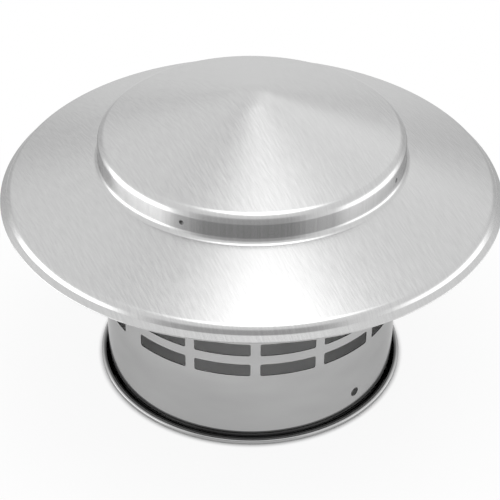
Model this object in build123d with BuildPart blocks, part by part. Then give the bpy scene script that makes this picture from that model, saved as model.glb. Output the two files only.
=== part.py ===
# Chimney rain cap for a 150 mm flue, in two pieces of thin stainless sheet.
# A pressed hood with a stepped cone and a beaded brim sits on a slotted collar tube,
# and four dimples in the hood's step lock into holes near the top of the collar.
# Millimetres, +Z up along the axis, z = 0 under the collar's foot, front towards -Y.
import os
from math import asin, atan2, cos, degrees, hypot, radians, sin, sqrt, tan

from build123d import *

# Sheet and fit
sheet = 0.5                 # thickness of both pieces
hood_fit = 0.1              # radial clearance between the collar's spigot and the hood's step
seat_clearance = 0.3        # the collar's top edge to the start of the hood's top bend

# Collar tube and its foot, turned out and up and curled in again, with a slit beside the tube
flue_diameter = 150.0       # inside of the collar, which slips over the flue pipe
collar_height = 130.7
rim_height = 2.7
curl_slit = 1.3             # between the tube and the curl
curl_width = 2.7
curl_drop = 1.5             # the curl's edge below the top of the rim
rim_bend_radius = 1.0       # lower face, between the gutter and the rim
gutter_radius = 2.0         # lower face, between the tube and the gutter
mouth_flare = 0.2           # the mouth opens this much, so that the pipe finds its way in
mouth_height = 3.4

# Spigot: the collar's top, rolled in a little where the hood's step slips over it
spigot_neck = 0.3           # how far it is rolled in
shoulder_rise = 2.0         # height of the shoulder below it

# Outlet slots: columns struck in groups, with a wide bar between the groups
slot_groups = 2
slots_per_group = 7
slot_pitch_angle = 24.8
slot_group_azimuth = 39.2   # middle of the first group, from the front towards +X
slot_rows = 5
slot_row_pitch = 12.4
first_row_height = 45.15
slot_width = 27.8
slot_height = 7.2
slot_corner_radius = 1.0

# Screw holes that pin the collar to the flue
screw_hole_diameter = 5.0
screw_hole_height = 13.4
screw_hole_azimuth = 44.6
screw_holes = 2

# Hood, sizes on its upper face
brim_diameter = 250.0
hood_slope = 17.0           # of the cone and of the brim
tip_radius = 40.0
step_rise = 13.0            # height between the slopes of the cone and the brim
step_top_radius = 5.0
step_foot_radius = 3.0

# Beaded edge of the brim: a steep drop, a lip and a flat hem folded under the lip
edge_run = 1.6
edge_drop = 3.2
lip_run = 2.4
lip_drop = 1.9
edge_radius = 4.5
lip_root_radius = 1.2
hem_fold = 1.6

# Dimples that lock the hood to the collar
dimples = 4
dimple_azimuth = -25.0
dimple_below_top = 3.4      # below the collar's top edge
dimple_diameter = 2.4
dimple_depth = 0.55

# Radii and heights that follow
collar_inner = flue_diameter / 2
collar_outer = collar_inner + sheet
spigot_outer = collar_outer - spigot_neck
spigot_inner = spigot_outer - sheet
curl_at = collar_outer + curl_slit
foot_radius = curl_at + curl_width
mouth_radius = collar_inner + mouth_flare
curl_radius = 0.47 * curl_width
step_inner = spigot_outer + hood_fit
step_outer = step_inner + sheet
slope = radians(hood_slope)
step_bend_height = collar_height + seat_clearance
dimple_height = collar_height - dimple_below_top


def wall_plane(radius, azimuth, height, inward=False):
    """A plane that touches an upright wall, with x along the wall, facing out of it or into it."""
    turn = radians(azimuth)
    outward = Vector(sin(turn), -cos(turn), 0)
    along = Vector(cos(turn), sin(turn), 0)
    facing = -outward if inward else outward
    return Plane(outward * radius + Vector(0, 0, height), x_dir=along, z_dir=facing)


def around(count, first_azimuth):
    """Azimuths of a ring of equal steps."""
    return [first_azimuth + 360 / count * i for i in range(count)]


# Corners of the hood's upper face, from the tip to the lip
step_top_height = step_bend_height + step_top_radius * (1 / cos(slope) - tan(slope))
step_foot_height = step_top_height - step_rise
tip_height = step_top_height + step_outer * tan(slope) - tip_radius * (1 / cos(slope) - 1)
lip_length = hypot(lip_run, lip_drop)
lip_along = Vector(lip_run, -lip_drop) / lip_length
lip_below = Vector(-lip_drop, -lip_run) / lip_length
nose_centre_radius = brim_diameter / 2 - sheet
lip_end_radius = nose_centre_radius - lip_below.X * sheet
lip_root_at = lip_end_radius - lip_run
brim_end_at = lip_root_at - edge_run
brim_end_height = step_foot_height - (brim_end_at - step_outer) * tan(slope)
step_top = (step_outer, step_top_height)
step_foot = (step_outer, step_foot_height)
brim_end = (brim_end_at, brim_end_height)
lip_root = (lip_root_at, brim_end_height - edge_drop)
lip_end = Vector(lip_end_radius, brim_end_height - edge_drop - lip_drop)
lip_tilt = degrees(atan2(lip_drop, lip_run))
nose_centre = lip_end + lip_below * sheet
hem_middle = nose_centre - lip_along * (hem_fold / 2)
bends = (step_top_radius, step_foot_radius, edge_radius, lip_root_radius)

# The ball that strikes a dimple stands outside the wall and sinks in by the dimple's depth
punch_radius = ((dimple_diameter / 2) ** 2 + dimple_depth**2) / (2 * dimple_depth)
punch_centre = step_outer - dimple_depth + punch_radius
boss_radius = punch_radius + sheet
boss_latitude = degrees(asin((punch_centre - step_inner - sheet / 2) / boss_radius))
lock_hole_radius = sqrt(boss_radius**2 - (punch_centre - spigot_outer) ** 2) + hood_fit

with BuildPart() as rain_hood:
    with BuildSketch(Plane.XZ) as hood_section:
        with BuildLine():
            tip = JernArc((0, tip_height), (1, 0), tip_radius, -hood_slope)
            FilletPolyline(tip @ 1, step_top, step_foot, brim_end, lip_root, lip_end, radius=bends)
            offset(amount=sheet, side=Side.RIGHT)
        make_face()
        with Locations(hem_middle):
            Rectangle(hem_fold, 2 * sheet, rotation=-lip_tilt)
        with Locations(nose_centre):
            Circle(sheet)
    revolve(axis=Axis.Z)
    for azimuth in around(dimples, dimple_azimuth):
        with Locations(wall_plane(punch_centre, azimuth, dimple_height, inward=True)):
            Sphere(boss_radius, arc_size1=boss_latitude, align=None)
            Sphere(punch_radius, mode=Mode.SUBTRACT)
rain_hood.part.label = "rain_hood"

with BuildPart() as slotted_collar:
    with BuildSketch(Plane.XZ) as collar_section:
        with BuildLine():
            FilletPolyline(
                (curl_at, rim_height - curl_drop),
                (curl_at, rim_height),
                (foot_radius, rim_height),
                (foot_radius, 0),
                (mouth_radius, 0),
                (collar_inner, mouth_height),
                (collar_inner, step_foot_height - shoulder_rise),
                (spigot_inner, step_foot_height),
                (spigot_inner, collar_height),
                radius=(curl_radius, curl_radius, rim_bend_radius, gutter_radius, 0, 0, 0),
            )
            offset(amount=sheet, side=Side.RIGHT)
        make_face()
    revolve(axis=Axis.Z)
    slot_middle = first_row_height + slot_row_pitch * (slot_rows - 1) / 2
    for group_azimuth in around(slot_groups, slot_group_azimuth):
        for i in range(slots_per_group):
            azimuth = group_azimuth + slot_pitch_angle * (i - (slots_per_group - 1) / 2)
            with BuildSketch(wall_plane(collar_outer, azimuth, slot_middle)):
                with GridLocations(0, slot_row_pitch, 1, slot_rows):
                    RectangleRounded(slot_width, slot_height, slot_corner_radius)
    extrude(amount=-collar_inner / 2, mode=Mode.SUBTRACT)
    for azimuth in around(screw_holes, screw_hole_azimuth):
        with Locations(wall_plane(collar_outer, azimuth, screw_hole_height)):
            Hole(screw_hole_diameter / 2, depth=2 * sheet)
    for azimuth in around(dimples, dimple_azimuth):
        with Locations(wall_plane(spigot_outer, azimuth, dimple_height)):
            Hole(lock_hole_radius, depth=2 * sheet)
slotted_collar.part.label = "slotted_collar"

os.makedirs("parts", exist_ok=True)
export_step(rain_hood.part, "parts/rain_hood.step")
export_step(slotted_collar.part, "parts/slotted_collar.step")
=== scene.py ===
from math import atan2, cos, pi, radians, sin, tan

import bmesh
import bpy
from mathutils import Matrix, Vector


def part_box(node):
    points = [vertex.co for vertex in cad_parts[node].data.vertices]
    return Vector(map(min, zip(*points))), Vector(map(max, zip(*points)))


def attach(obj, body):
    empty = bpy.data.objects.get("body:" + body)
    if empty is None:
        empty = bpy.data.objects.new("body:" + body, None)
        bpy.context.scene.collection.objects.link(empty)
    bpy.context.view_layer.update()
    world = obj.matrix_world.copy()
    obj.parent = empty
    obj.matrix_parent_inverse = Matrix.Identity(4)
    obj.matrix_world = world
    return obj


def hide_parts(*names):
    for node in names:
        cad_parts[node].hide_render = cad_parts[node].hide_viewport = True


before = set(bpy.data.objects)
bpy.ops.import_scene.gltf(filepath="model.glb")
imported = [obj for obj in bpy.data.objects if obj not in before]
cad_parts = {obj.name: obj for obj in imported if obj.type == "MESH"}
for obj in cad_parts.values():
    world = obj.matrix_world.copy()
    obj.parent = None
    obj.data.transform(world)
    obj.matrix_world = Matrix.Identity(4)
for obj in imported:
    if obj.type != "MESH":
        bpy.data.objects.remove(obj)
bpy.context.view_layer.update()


# Collar tube.
# One strip of half-millimetre stainless sheet rolled into a tube. Its foot is turned out and up into a narrow
# gutter whose rim is curled inwards, and its top is rolled in a little where the hood slips over it.
sheet = 0.0005
collar_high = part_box("slotted_collar")[1]
foot_radius = collar_high.x
collar_top = collar_high.z
tube_radius = 0.0755
rim_height = 0.0027
curl_width = 0.0027
curl_bend = 0.47 * curl_width
curl_drop = 0.0015
curl_end = rim_height - curl_drop
rim_bend = 0.0010
gutter_bend = 0.0020
mouth_radius = 0.0752
mouth_height = 0.0034
spigot_neck = 0.0003
spigot_radius = tube_radius - spigot_neck
shoulder_top = 0.1217
shoulder_rise = 0.0020
shoulder_foot = shoulder_top - shoulder_rise
turns = 288
bend_steps = 8
holding_gap = 0.00015
long_run = 8 * holding_gap
shortest_pull = 1e-7
weld_distance = 1e-6


def start_section(name, point):
    """A new piece that is a single point of the section, taken from a small plane."""
    bpy.ops.object.select_all(action="DESELECT")
    bpy.ops.mesh.primitive_plane_add(size=sheet, location=(point[0], 0, point[1]))
    piece = bpy.context.object
    piece.name = name
    piece.data.name = name
    bpy.ops.object.transform_apply(location=True, rotation=True, scale=True)
    bpy.ops.object.mode_set(mode="EDIT")
    bpy.ops.mesh.select_mode(type="VERT")
    bpy.ops.mesh.select_all(action="SELECT")
    bpy.ops.mesh.merge(type="CENTER")
    return piece


def pull(a, b):
    """Pulls the end of the section straight from a to b, with a holding point near each end of a long run."""
    run = Vector(b) - Vector(a)
    stops = [run.length]
    if run.length > long_run:
        stops = [holding_gap, run.length - holding_gap, run.length]
    last = 0.0
    for stop in stops:
        step = run.normalized() * (stop - last)
        if step.length > shortest_pull:
            bpy.ops.mesh.extrude_vertices_move(TRANSFORM_OT_translate={"value": (step.x, 0, step.y)})
        last = stop


def turn(centre, angle, steps=bend_steps):
    """Spins the end of the section round a bend's centre."""
    bpy.ops.mesh.spin(steps=steps, angle=angle, center=(centre[0], 0, centre[1]), axis=(0, 1, 0))


def follow(corners, at):
    """Draws a face of the sheet from a point through its corners: radius, height and bend radius."""
    for i, (x, z, bend) in enumerate(corners):
        corner = Vector((x, z))
        if bend == 0 or i == len(corners) - 1:
            pull(at, corner)
            at = corner
            continue
        before = (corner - Vector(at)).normalized()
        after = (Vector(corners[i + 1][:2]) - corner).normalized()
        angle = atan2(before.x * after.y - before.y * after.x, before.dot(after))
        tangent = bend * tan(abs(angle) / 2)
        side = Vector((-before.y, before.x)) * (1 if angle > 0 else -1)
        begin = corner - before * tangent
        pull(at, begin)
        turn(begin + side * bend, angle)
        at = corner + after * tangent
    return at


def other_face(corners, thickness):
    """The corners of the sheet's other face, to the left of the first one, in the opposite order."""
    points = [Vector(c[:2]) for c in corners]
    along = [(b - a).normalized() for a, b in zip(points, points[1:])]
    left = [Vector((-d.y, d.x)) for d in along]
    found = [(*(points[0] + left[0] * thickness), 0)]
    for i in range(1, len(points) - 1):
        mitre = (left[i - 1] + left[i]) / (1 + left[i - 1].dot(left[i]))
        turns_left = along[i - 1].x * along[i].y - along[i - 1].y * along[i].x > 0
        bend = corners[i][2]
        if bend > 0:
            bend += -thickness if turns_left else thickness
        found.append((*(points[i] + mitre * thickness), bend))
    found.append((*(points[-1] + left[-1] * thickness), 0))
    return found[::-1]


def lathe(piece):
    """Spins the finished section round the axis, closes the seam and turns the faces outwards."""
    bpy.ops.mesh.select_all(action="SELECT")
    bpy.ops.mesh.remove_doubles(threshold=weld_distance)
    bpy.ops.mesh.select_all(action="SELECT")
    bpy.ops.mesh.spin(steps=turns, angle=2 * pi, center=(0, 0, 0), axis=(0, 0, 1))
    bpy.ops.mesh.select_all(action="SELECT")
    bpy.ops.mesh.remove_doubles(threshold=weld_distance)
    bpy.ops.mesh.select_all(action="SELECT")
    bpy.ops.mesh.normals_make_consistent(inside=False)
    bpy.ops.object.mode_set(mode="OBJECT")


def inner_side(corners):
    """The other face of a section that is drawn with its sheet on the right."""
    mirrored = [(-x, z, bend) for x, z, bend in corners]
    return [(-x, z, bend) for x, z, bend in other_face(mirrored, sheet)]


collar_under = [
    (foot_radius - curl_width, curl_end, 0),
    (foot_radius - curl_width, rim_height, curl_bend),
    (foot_radius, rim_height, curl_bend),
    (foot_radius, 0, rim_bend),
    (mouth_radius, 0, gutter_bend),
    (tube_radius - sheet, mouth_height, 0),
    (tube_radius - sheet, shoulder_foot, 0),
    (spigot_radius - sheet, shoulder_top, 0),
    (spigot_radius - sheet, collar_top, 0),
]
collar_outside = inner_side(collar_under)
collar = start_section("collar_tube", collar_under[0][:2])
at = follow(collar_under[1:], collar_under[0][:2])
at = follow(collar_outside, at)
pull(at, collar_under[0][:2])
lathe(collar)

# Outlet slots, screw holes and lock holes.
# All are punched through the collar's wall: two groups of seven columns of slots with a wide bar between
# the groups, two round holes low down for the screws, and four small holes that the hood's dimples lock into.
slot_width = 0.0278
slot_height = 0.0072
slot_corner = 0.0010
corner_steps = 5
slot_rows = 5
row_pitch = 0.0124
first_row = 0.04515
slots_per_group = 7
slot_pitch = radians(24.8)
group_azimuths = [radians(39.2), radians(219.2)]
screw_hole_radius = 0.0025
screw_hole_height = 0.0134
screw_hole_azimuths = [radians(44.6), radians(224.6)]
dimple_height = 0.1273
dimple_azimuths = [radians(a) for a in (-25, 65, 155, 245)]
lock_hole_radius = 0.001394
hole_sides = 40
punch_depth = 0.020


def pick(piece):
    """Selects one piece and nothing else."""
    bpy.ops.object.select_all(action="DESELECT")
    piece.select_set(True)
    bpy.context.view_layer.objects.active = piece


def apply_place(piece):
    """Puts the piece's place, turn and size into its mesh."""
    pick(piece)
    bpy.ops.object.transform_apply(location=True, rotation=True, scale=True)


def copy_round(piece, azimuth, rise=0.0):
    """A copy of a front piece, with its own mesh, turned round the axis and raised."""
    pick(piece)
    bpy.ops.object.duplicate(linked=False)
    copy = bpy.context.object
    copy.rotation_euler.z = azimuth
    copy.location.z = rise
    apply_place(copy)
    return copy


def join(pieces):
    """Joins pieces into the first one."""
    bpy.ops.object.select_all(action="DESELECT")
    for piece in pieces:
        piece.select_set(True)
    bpy.context.view_layer.objects.active = pieces[0]
    bpy.ops.object.join()
    return pieces[0]


def combine(piece, tool, operation):
    """Cuts a tool out of a piece, or adds it, and throws the tool away."""
    pick(piece)
    press = piece.modifiers.new("press", "BOOLEAN")
    press.operation = operation
    press.solver = "EXACT"
    press.use_self = False
    press.object = tool
    bpy.ops.object.modifier_apply(modifier=press.name)
    bpy.data.objects.remove(tool)


def round_punch(name, radius, height):
    """A round punch through the front of the wall."""
    bpy.ops.object.select_all(action="DESELECT")
    bpy.ops.mesh.primitive_cylinder_add(
        vertices=hole_sides, radius=radius, depth=punch_depth,
        location=(0, -tube_radius, height), rotation=(pi / 2, 0, 0),
    )
    punch = bpy.context.object
    punch.name = name
    apply_place(punch)
    return punch


bpy.ops.object.select_all(action="DESELECT")
bpy.ops.mesh.primitive_cube_add(size=1, location=(0, -tube_radius, first_row))
slot_punch = bpy.context.object
slot_punch.name = "slot_punch"
slot_punch.scale = (slot_width, punch_depth, slot_height)
apply_place(slot_punch)
bpy.ops.object.mode_set(mode="EDIT")
bpy.ops.mesh.select_mode(type="EDGE")
bpy.ops.mesh.select_all(action="DESELECT")
punch_mesh = bmesh.from_edit_mesh(slot_punch.data)
for edge in punch_mesh.edges:
    run = edge.verts[1].co - edge.verts[0].co
    edge.select_set(abs(run.y) > punch_depth / 2)
bmesh.update_edit_mesh(slot_punch.data)
bpy.ops.mesh.bevel(offset=slot_corner, segments=corner_steps, affect="EDGES")
bpy.ops.object.mode_set(mode="OBJECT")
punches = []
for group_azimuth in group_azimuths:
    for column in range(slots_per_group):
        azimuth = group_azimuth + slot_pitch * (column - (slots_per_group - 1) / 2)
        punches += [copy_round(slot_punch, azimuth, row_pitch * row) for row in range(slot_rows)]
screw_punch = round_punch("screw_punch", screw_hole_radius, screw_hole_height)
punches += [copy_round(screw_punch, azimuth) for azimuth in screw_hole_azimuths]
lock_punch = round_punch("lock_punch", lock_hole_radius, dimple_height)
punches += [copy_round(lock_punch, azimuth) for azimuth in dimple_azimuths]
for pattern in (slot_punch, screw_punch, lock_punch):
    bpy.data.objects.remove(pattern)
combine(collar, join(punches), "DIFFERENCE")

# Collar finish.
# Plain rolled sheet, smooth and darker than the hood, with soft smears left by the rollers. Its inside face
# is a darker grey. The sheet's cut edges and the foot's gutter get painted shade: their colour is darkened
# near black.
collar_grey = 0.51
collar_edge_tint = 0.82
smear_scale = (16, 16, 45)
smear_contrast = (0.96, 1.07)
smear_roughness = (0.03, 0.05)
# Painted shade: the foot's gutter is darkened to this share of the grey.
gutter_painted_shade = 0.31
inside_grey_share = 0.68
# Painted shade: the sheet's cut edges are darkened to this share of the grey.
cut_edge_painted_shade = 0.10
cut_edge_angle = radians(32)


def new_finish(name):
    """A new node material with its principled shader."""
    finish = bpy.data.materials.new(name)
    finish.use_nodes = True
    return finish, finish.node_tree, finish.node_tree.nodes["Principled BSDF"]


def add(tree, kind, **settings):
    """A new node with its own settings."""
    node = tree.nodes.new(kind)
    for key, value in settings.items():
        setattr(node, key, value)
    return node


def sheet_texture(tree, grain_angle, scale):
    """Noise drawn out along a straight grain in the plan of the sheet."""
    where = add(tree, "ShaderNodeTexCoord")
    turned = add(tree, "ShaderNodeVectorRotate", rotation_type="Z_AXIS")
    turned.inputs["Angle"].default_value = grain_angle
    stretched = add(tree, "ShaderNodeVectorMath", operation="MULTIPLY")
    stretched.inputs[1].default_value = scale
    noise = add(tree, "ShaderNodeTexNoise")
    noise.inputs["Scale"].default_value = 1.0
    noise.inputs["Detail"].default_value = 2.0
    noise.inputs["Roughness"].default_value = 0.6
    tree.links.new(where.outputs["Object"], turned.inputs["Vector"])
    tree.links.new(turned.outputs["Vector"], stretched.inputs[0])
    tree.links.new(stretched.outputs["Vector"], noise.inputs["Vector"])
    return noise


def spread(tree, noise, limits, share=1.0):
    """The middle of a noise, spread between two limits that are shares of a value."""
    middle = add(tree, "ShaderNodeMapRange")
    middle.inputs["From Min"].default_value = 0.3
    middle.inputs["From Max"].default_value = 0.7
    middle.inputs["To Min"].default_value = limits[0] * share
    middle.inputs["To Max"].default_value = limits[1] * share
    tree.links.new(noise.outputs["Fac"], middle.inputs["Value"])
    return middle.outputs["Result"]


def shade(piece, finish):
    """Gives a piece its finish and smooth faces with crisp cut edges."""
    piece.data.materials.clear()
    piece.data.materials.append(finish)
    pick(piece)
    bpy.ops.object.shade_smooth_by_angle(angle=cut_edge_angle)


collar_finish, tree, steel = new_finish("rolled_collar_steel")
steel.inputs["Metallic"].default_value = 1.0
steel.inputs["Specular Tint"].default_value = (*[collar_edge_tint] * 3, 1)
smears = sheet_texture(tree, 0.0, smear_scale)
where = add(tree, "ShaderNodeTexCoord")
plan = add(tree, "ShaderNodeVectorMath", operation="MULTIPLY")
plan.inputs[1].default_value = (1, 1, 0)
radius = add(tree, "ShaderNodeVectorMath", operation="LENGTH")
tree.links.new(where.outputs["Object"], plan.inputs[0])
tree.links.new(plan.outputs["Vector"], radius.inputs[0])
across = add(tree, "ShaderNodeMapRange")
darkening_from = tube_radius - 2 * sheet
across.inputs["From Min"].default_value = darkening_from
across.inputs["From Max"].default_value = foot_radius
tree.links.new(radius.outputs["Value"], across.inputs["Value"])
# A ramp by radius: a darker inside face, painted shade on the cut edges, and painted shade in the foot's
# gutter.
inside_and_painted_shade = add(tree, "ShaderNodeValToRGB")
tree.links.new(across.outputs["Result"], inside_and_painted_shade.inputs["Fac"])
inside_and_painted_shade_stops = [
    (tube_radius - 0.94 * sheet, inside_grey_share),
    (tube_radius - 0.86 * sheet, cut_edge_painted_shade),
    (tube_radius - 0.20 * sheet, cut_edge_painted_shade),
    (tube_radius - 0.08 * sheet, 1.0),
    (tube_radius + 0.3 * sheet, 1.0),
    (tube_radius + 0.7 * sheet, gutter_painted_shade),
    (foot_radius - 0.5 * curl_width, gutter_painted_shade),
    (foot_radius - 0.2 * curl_width, 1.0),
]
while len(inside_and_painted_shade.color_ramp.elements) < len(inside_and_painted_shade_stops):
    inside_and_painted_shade.color_ramp.elements.new(0.5)
for stop, (stop_radius, share) in zip(inside_and_painted_shade.color_ramp.elements, inside_and_painted_shade_stops):
    stop.position = (stop_radius - darkening_from) / (foot_radius - darkening_from)
    stop.color = (share, share, share, 1)
grey = add(tree, "ShaderNodeMath", operation="MULTIPLY")
tree.links.new(spread(tree, smears, smear_contrast, collar_grey), grey.inputs[0])
tree.links.new(inside_and_painted_shade.outputs["Color"], grey.inputs[1])
tree.links.new(grey.outputs["Value"], steel.inputs["Base Color"])
tree.links.new(spread(tree, smears, smear_roughness), steel.inputs["Roughness"])
shade(collar, collar_finish)
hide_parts("slotted_collar")
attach(collar, "root")

# Rain hood.
# One disc of stainless sheet pressed over a die: a rounded tip, a shallow cone, an upright step that slips
# over the collar, a brim, and a beaded edge with a flat hem folded under the lip.
hood_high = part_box("rain_hood")[1]
brim_radius = hood_high.x
tip_height = hood_high.z
hood_slope = radians(17.0)
tip_bend = 0.040
hood_fit = 0.0001
step_radius = spigot_radius + hood_fit + sheet
step_rise = 0.0130
step_top_bend = 0.0050
step_foot_bend = 0.0030
edge_run = 0.0016
edge_drop = 0.0032
edge_bend = 0.0045
lip_run = 0.0024
lip_drop = 0.0019
lip_root_bend = 0.0012
hem_fold = 0.0016
nose_steps = 12

tip_run = tip_bend * tan(hood_slope / 2)
step_top = tip_height - (step_radius - tip_run) * tan(hood_slope)
step_foot = step_top - step_rise
lip_along = Vector((lip_run, -lip_drop)).normalized()
lip_below = Vector((-lip_drop, -lip_run)).normalized()
lip_end_radius = brim_radius - sheet - lip_below.x * sheet
lip_root_radius = lip_end_radius - lip_run
brim_end_radius = lip_root_radius - edge_run
brim_end = step_foot - (brim_end_radius - step_radius) * tan(hood_slope)
lip_end = Vector((lip_end_radius, brim_end - edge_drop - lip_drop))
hood_outside = [
    (0, tip_height, 0),
    (tip_run, tip_height, tip_bend),
    (step_radius, step_top, step_top_bend),
    (step_radius, step_foot, step_foot_bend),
    (brim_end_radius, brim_end, edge_bend),
    (lip_root_radius, brim_end - edge_drop, lip_root_bend),
    (*lip_end, 0),
]
hood_inside = inner_side(hood_outside)
hem_under = lip_end + lip_below * 2 * sheet - lip_along * hem_fold
hem_inner = lip_end + lip_below * sheet - lip_along * hem_fold
hood = start_section("rain_hood_shell", hood_outside[0][:2])
at = follow(hood_outside[1:], hood_outside[0][:2])
turn(lip_end + lip_below * sheet, -pi, nose_steps)
pull(lip_end + lip_below * 2 * sheet, hem_under)
pull(hem_under, hem_inner)
follow(hood_inside[1:], hem_inner)
lathe(hood)

# Dimples.
# Four dents struck into the hood's step with a round-nosed punch once it sits on the collar. Each bulges
# inside into one of the collar's small holes, and so the sheet itself locks the two pieces together.
dimple_radius = 0.0012
dimple_depth = 0.00055
nose_radius = (dimple_radius**2 + dimple_depth**2) / (2 * dimple_depth)
nose_reach = step_radius - dimple_depth + nose_radius
boss_radius = nose_radius + sheet
ball_segments = 32
ball_rings = 24
struck_margin = 2e-5


def ball(name, radius):
    """A round-nosed tool in front of the step."""
    bpy.ops.object.select_all(action="DESELECT")
    bpy.ops.mesh.primitive_uv_sphere_add(
        segments=ball_segments, ring_count=ball_rings, radius=radius,
        location=(0, -nose_reach, dimple_height), rotation=(pi / 2, 0, 0),
    )
    tool = bpy.context.object
    tool.name = name
    apply_place(tool)
    return tool


def struck_by(nose, corners):
    """Whether the corners of a face all lie on the punch's round nose."""
    return all(abs((corner - nose).length - nose_radius) < struck_margin for corner in corners)


boss = ball("boss", boss_radius)
bpy.ops.object.mode_set(mode="EDIT")
bpy.ops.mesh.select_all(action="SELECT")
bpy.ops.mesh.bisect(
    plane_co=(0, -(step_radius - sheet / 2), dimple_height), plane_no=(0, -1, 0),
    use_fill=True, clear_outer=True, clear_inner=False,
)
bpy.ops.object.mode_set(mode="OBJECT")
combine(hood, join([copy_round(boss, azimuth) for azimuth in dimple_azimuths]), "UNION")
bpy.data.objects.remove(boss)
dent = ball("dent", nose_radius)
combine(hood, join([copy_round(dent, azimuth) for azimuth in dimple_azimuths]), "DIFFERENCE")
bpy.data.objects.remove(dent)
noses = [Vector((nose_reach * sin(a), -nose_reach * cos(a), dimple_height)) for a in dimple_azimuths]
# Marks the faces of the dents, which the hood's finish paints with shade.
struck = hood.data.color_attributes.new("struck", "FLOAT_COLOR", "CORNER")
for face in hood.data.polygons:
    corners = [hood.data.vertices[i].co for i in face.vertices]
    inside = any(struck_by(nose, corners) for nose in noses)
    for i in face.loop_indices:
        struck.data[i].color = (1, 1, 1, 1) if inside else (0, 0, 0, 1)

# Hood finish.
# Bright pressed sheet that keeps the mill's fine straight grain, which runs from front to back and a little
# to the right across the whole disc. The dents are painted dark: painted shade in their hollows.
hood_grey = 0.588
hood_edge_tint = 0.86
# Painted shade: the faces of the dents are given this dark grey.
dent_painted_shade = 0.12
grain_angle = radians(64.5)
grain_scale = (110, 1150, 0)
grain_contrast = (0.955, 1.045)
grain_roughness = (0.21, 0.26)
grain_strength = 0.06
grain_depth = 0.0002

hood_finish, tree, steel = new_finish("pressed_hood_steel")
steel.inputs["Metallic"].default_value = 1.0
steel.inputs["Specular Tint"].default_value = (*[hood_edge_tint] * 3, 1)
grain = sheet_texture(tree, grain_angle, grain_scale)
tree.links.new(spread(tree, grain, grain_roughness), steel.inputs["Roughness"])
bump = add(tree, "ShaderNodeBump")
bump.inputs["Strength"].default_value = grain_strength
bump.inputs["Distance"].default_value = grain_depth
tree.links.new(grain.outputs["Fac"], bump.inputs["Height"])
tree.links.new(bump.outputs["Normal"], steel.inputs["Normal"])
# The dents' faces take the painted shade grey.
dents = add(tree, "ShaderNodeAttribute", attribute_name="struck")
grey = add(tree, "ShaderNodeMix", data_type="FLOAT")
tree.links.new(dents.outputs["Fac"], grey.inputs[0])
tree.links.new(spread(tree, grain, grain_contrast, hood_grey), grey.inputs[2])
grey.inputs[3].default_value = dent_painted_shade
tree.links.new(grey.outputs[0], steel.inputs["Base Color"])
shade(hood, hood_finish)
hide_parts("rain_hood")
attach(hood, "root")

# Floor.
# A plain sheet of matt white board that the cap stands on. It shows as white around the cap and fades into
# the white room, keeps the cap's faint shadow near the foot, and stays unlit board inside the tube.
floor_size = 0.52
board_grey = 0.8
board_roughness = 0.9
mirrored_white = 0.5
shadow_white = 0.9
white_from = foot_radius - 0.001
white_to = foot_radius + 0.0025
fade_from = 0.13
bpy.ops.object.select_all(action="DESELECT")
bpy.ops.mesh.primitive_plane_add(size=floor_size, location=(0, 0, 0))
floor = bpy.context.object
floor.name = "floor"
floor_finish, tree, board = new_finish("white_board")
board.inputs["Base Color"].default_value = (*[board_grey] * 3, 1)
board.inputs["Roughness"].default_value = board_roughness
board.inputs["Specular IOR Level"].default_value = 0.0
glow = add(tree, "ShaderNodeEmission")
rays = add(tree, "ShaderNodeLightPath")
mirrored = add(tree, "ShaderNodeMath", operation="MAXIMUM")
tree.links.new(rays.outputs["Is Glossy Ray"], mirrored.inputs[0])
tree.links.new(rays.outputs["Is Transmission Ray"], mirrored.inputs[1])
softened = add(tree, "ShaderNodeMath", operation="MULTIPLY")
softened.inputs[1].default_value = mirrored_white
tree.links.new(mirrored.outputs["Value"], softened.inputs[0])
seen = add(tree, "ShaderNodeMath", operation="MAXIMUM")
tree.links.new(rays.outputs["Is Camera Ray"], seen.inputs[0])
tree.links.new(softened.outputs["Value"], seen.inputs[1])
where = add(tree, "ShaderNodeTexCoord")
reach = add(tree, "ShaderNodeVectorMath", operation="LENGTH")
tree.links.new(where.outputs["Object"], reach.inputs[0])
outside = add(tree, "ShaderNodeMapRange", interpolation_type="SMOOTHSTEP")
outside.inputs["From Min"].default_value = white_from
outside.inputs["From Max"].default_value = white_to
outside.inputs["To Max"].default_value = shadow_white
tree.links.new(reach.outputs["Value"], outside.inputs["Value"])
far = add(tree, "ShaderNodeMapRange", interpolation_type="SMOOTHSTEP")
far.inputs["From Min"].default_value = fade_from
far.inputs["From Max"].default_value = floor_size / 2
tree.links.new(reach.outputs["Value"], far.inputs["Value"])
fading = add(tree, "ShaderNodeMix", data_type="FLOAT")
tree.links.new(far.outputs["Result"], fading.inputs[0])
tree.links.new(outside.outputs["Result"], fading.inputs[2])
fading.inputs[3].default_value = 1.0
white = add(tree, "ShaderNodeMath", operation="MULTIPLY")
tree.links.new(seen.outputs["Value"], white.inputs[0])
tree.links.new(fading.outputs[0], white.inputs[1])
mixed = add(tree, "ShaderNodeMixShader")
tree.links.new(white.outputs["Value"], mixed.inputs["Fac"])
tree.links.new(board.outputs["BSDF"], mixed.inputs[1])
tree.links.new(glow.outputs["Emission"], mixed.inputs[2])
tree.links.new(mixed.outputs["Shader"], tree.nodes["Material Output"].inputs["Surface"])
floor.data.materials.append(floor_finish)

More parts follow.
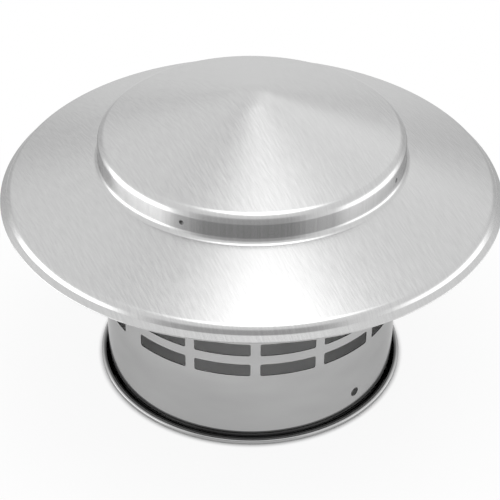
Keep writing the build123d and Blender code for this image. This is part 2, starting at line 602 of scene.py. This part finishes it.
# Studio.
# A white room, darker on the camera's side and in its far corners, with a large soft panel on the left,
# a lower one on the right and a round one overhead. Panels are given by azimuths from the front to the right,
# elevations, softness of their edges, all in degrees, and strength or share of light.
room_light = 0.98
panels = {
    "left": ((-114, -58), (-60, 11), 6, 1.90),
    "right": ((64, 118), (-60, 9), 7, 1.20),
    "back right": ((150, 174), (26, 66), 5, 0.22),
    "grey back left": ((-174, -136), (56, 70), 6, -0.13),
}
dark_parts = {
    "camera's side": ((-40, 36), (-60, 33), 9, 0.49),
    "far left corner": ((-162, -128), (-60, 20), 8, 0.70),
    "far right corner": ((130, 162), (-60, 20), 8, 0.70),
}
overhead_aim = Vector((0.075, 0.02, 1.0)).normalized()
overhead_edge = (24, 9)
overhead_strength = 2.2
studio = bpy.data.worlds.new("studio")
bpy.context.scene.world = studio
studio.use_nodes = True
tree = studio.node_tree
sky = tree.nodes["Background"]
where = add(tree, "ShaderNodeTexCoord")
split = add(tree, "ShaderNodeSeparateXYZ")
tree.links.new(where.outputs["Generated"], split.inputs["Vector"])
front = add(tree, "ShaderNodeMath", operation="MULTIPLY")
front.inputs[1].default_value = -1.0
tree.links.new(split.outputs["Y"], front.inputs[0])
azimuth = add(tree, "ShaderNodeMath", operation="ARCTAN2")
tree.links.new(split.outputs["X"], azimuth.inputs[0])
tree.links.new(front.outputs["Value"], azimuth.inputs[1])
elevation = add(tree, "ShaderNodeMath", operation="ARCSINE")
tree.links.new(split.outputs["Z"], elevation.inputs[0])


def ramp(tree, source, low, high):
    """A soft step from 0 to 1 between two angles in degrees."""
    step = add(tree, "ShaderNodeMapRange", interpolation_type="SMOOTHSTEP")
    step.inputs["From Min"].default_value = radians(low)
    step.inputs["From Max"].default_value = radians(high)
    tree.links.new(source, step.inputs["Value"])
    return step.outputs["Result"]


def times(tree, a, b):
    """The product of two values."""
    product = add(tree, "ShaderNodeMath", operation="MULTIPLY")
    for socket, value in zip(product.inputs, (a, b)):
        if isinstance(value, float):
            socket.default_value = value
        else:
            tree.links.new(value, socket)
    return product.outputs["Value"]


def window(tree, sides, heights, soft):
    """A soft mask of the room between two azimuths and two elevations in degrees."""
    masks = []
    for angle, (low, high) in ((azimuth.outputs["Value"], sides), (elevation.outputs["Value"], heights)):
        masks.append(times(
            tree,
            ramp(tree, angle, low - soft, low + soft),
            ramp(tree, angle, high + soft, high - soft),
        ))
    return times(tree, *masks)


def scaled(tree, mask, factor, base):
    """A mask times a factor, plus a base."""
    total = add(tree, "ShaderNodeMath", operation="MULTIPLY_ADD")
    tree.links.new(mask, total.inputs[0])
    total.inputs[1].default_value = factor
    if isinstance(base, float):
        total.inputs[2].default_value = base
    else:
        tree.links.new(base, total.inputs[2])
    return total.outputs["Value"]


def panel(tree, light, sides, heights, soft, strength):
    """Adds a soft panel to the room."""
    return scaled(tree, window(tree, sides, heights, soft), strength, light)


def dim(tree, light, sides, heights, soft, keep):
    """Dims a part of the room to a share of its light."""
    return times(tree, light, scaled(tree, window(tree, sides, heights, soft), keep - 1.0, 1.0))


light = room_light
for sides, heights, soft, strength in panels.values():
    light = panel(tree, light, sides, heights, soft, strength)
for sides, heights, soft, keep in dark_parts.values():
    light = dim(tree, light, sides, heights, soft, keep)
toward = add(tree, "ShaderNodeVectorMath", operation="DOT_PRODUCT")
toward.inputs[1].default_value = overhead_aim
tree.links.new(where.outputs["Generated"], toward.inputs[0])
away = add(tree, "ShaderNodeMath", operation="ARCCOSINE")
tree.links.new(toward.outputs["Value"], away.inputs[0])
light = scaled(tree, ramp(tree, away.outputs["Value"], *overhead_edge), overhead_strength, light)
rays = add(tree, "ShaderNodeLightPath")
seen = add(tree, "ShaderNodeMix", data_type="FLOAT")
tree.links.new(rays.outputs["Is Camera Ray"], seen.inputs[0])
tree.links.new(light, seen.inputs[2])
seen.inputs[3].default_value = 1.0
tree.links.new(seen.outputs[0], sky.inputs["Strength"])
sky.inputs["Color"].default_value = (1, 1, 1, 1)

# Camera.
# It looks down on the front of the cap from a little over arm's length, as in the photograph, and is held
# about half a degree out of level. The cap's outline fills the frame from side to side.
camera_place = Vector((0, -0.6678, 0.5463))
camera_pitch = radians(35.93)
camera_yaw = radians(-0.049)
camera_roll = radians(0.52)
film_width = 36.0
lens_length = 115.2
nearest_sight = 0.01
camera = bpy.data.objects.new("camera", bpy.data.cameras.new("camera"))
bpy.context.scene.collection.objects.link(camera)
camera.data.sensor_fit = "HORIZONTAL"
camera.data.sensor_width = film_width
camera.data.lens = lens_length
camera.data.clip_start = nearest_sight
ahead = Vector((
    sin(camera_yaw) * cos(camera_pitch),
    cos(camera_yaw) * cos(camera_pitch),
    -sin(camera_pitch),
))
level = ahead.cross(Vector((0, 0, 1))).normalized()
upright = level.cross(ahead)
right = level * cos(camera_roll) + upright * sin(camera_roll)
up = upright * cos(camera_roll) - level * sin(camera_roll)
camera_turn = Matrix((right, up, -ahead)).transposed().to_4x4()
camera.matrix_world = Matrix.Translation(camera_place) @ camera_turn
bpy.context.scene.camera = camera
bpy.context.scene.view_settings.view_transform = "Standard"
